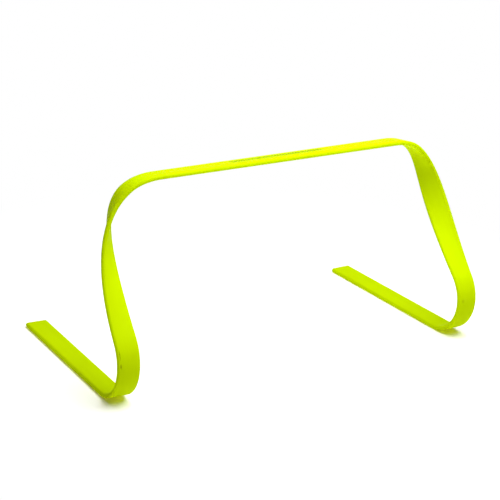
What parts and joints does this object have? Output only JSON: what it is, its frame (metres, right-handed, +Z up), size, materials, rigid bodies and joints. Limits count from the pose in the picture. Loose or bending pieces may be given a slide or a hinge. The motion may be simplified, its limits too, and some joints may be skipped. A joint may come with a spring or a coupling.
{
  "type": "speed hurdle",
  "caption": "Low free-standing speed hurdle bent and twisted from one flat flexible plastic strip, with a raised crossbar and floor feet that spring back when trodden on.",
  "frame": {"origin": "on the floor, at the centre of the footprint's bounding box", "axes": "+X along the crossbar to the right, +Y back along the feet, +Z up"},
  "size_m": [0.467, 0.2424, 0.229],
  "materials": {
    "strip": "satin fluorescent yellow-green plastic"
  },
  "bodies": {
    "left_foot": {"left_foot": "strip", "left_heel": "strip"},
    "left_leg": {"left_leg": "strip"},
    "crossbar": {"crossbar": "strip", "left_shoulder": "strip", "right_shoulder": "strip"},
    "right_leg": {"right_leg": "strip"},
    "right_foot": {"right_foot": "strip", "right_heel": "strip"}
  },
  "joints": [
    {"name": "left_heel_fold", "type": "hinge", "parent": "left_foot", "child": "left_leg", "pos_m": [-0.21979, -0.10631, 0.03173], "axis": [-1, 0, 0], "range_deg": [-30, 65], "stiffness_Nm_per_rad": 0.6, "springref_deg": -3.07, "deforming": ["left_heel"]},
    {"name": "left_shoulder_twist", "type": "hinge", "parent": "left_leg", "child": "crossbar", "pos_m": [-0.1803, -0.03816, 0.21282], "axis": [1, 0, 0], "range_deg": [-25, 40], "stiffness_Nm_per_rad": 0.5, "springref_deg": -0.06, "deforming": ["left_shoulder"]},
    {"name": "right_shoulder_twist", "type": "hinge", "parent": "crossbar", "child": "right_leg", "pos_m": [0.1803, -0.03816, 0.21282], "axis": [-1, 0, 0], "range_deg": [-25, 40], "stiffness_Nm_per_rad": 0.5, "springref_deg": -0.06, "deforming": ["right_shoulder"]},
    {"name": "right_heel_fold", "type": "hinge", "parent": "right_leg", "child": "right_foot", "pos_m": [0.21979, -0.10631, 0.03173], "axis": [1, 0, 0], "range_deg": [-30, 65], "stiffness_Nm_per_rad": 0.6, "springref_deg": -3.07, "deforming": ["right_heel"]}
  ],
  "couplings": [
    {"joint": "right_heel_fold", "follows": "left_heel_fold", "ratio": 1},
    {"joint": "right_shoulder_twist", "follows": "left_shoulder_twist", "ratio": 1}
  ]
}
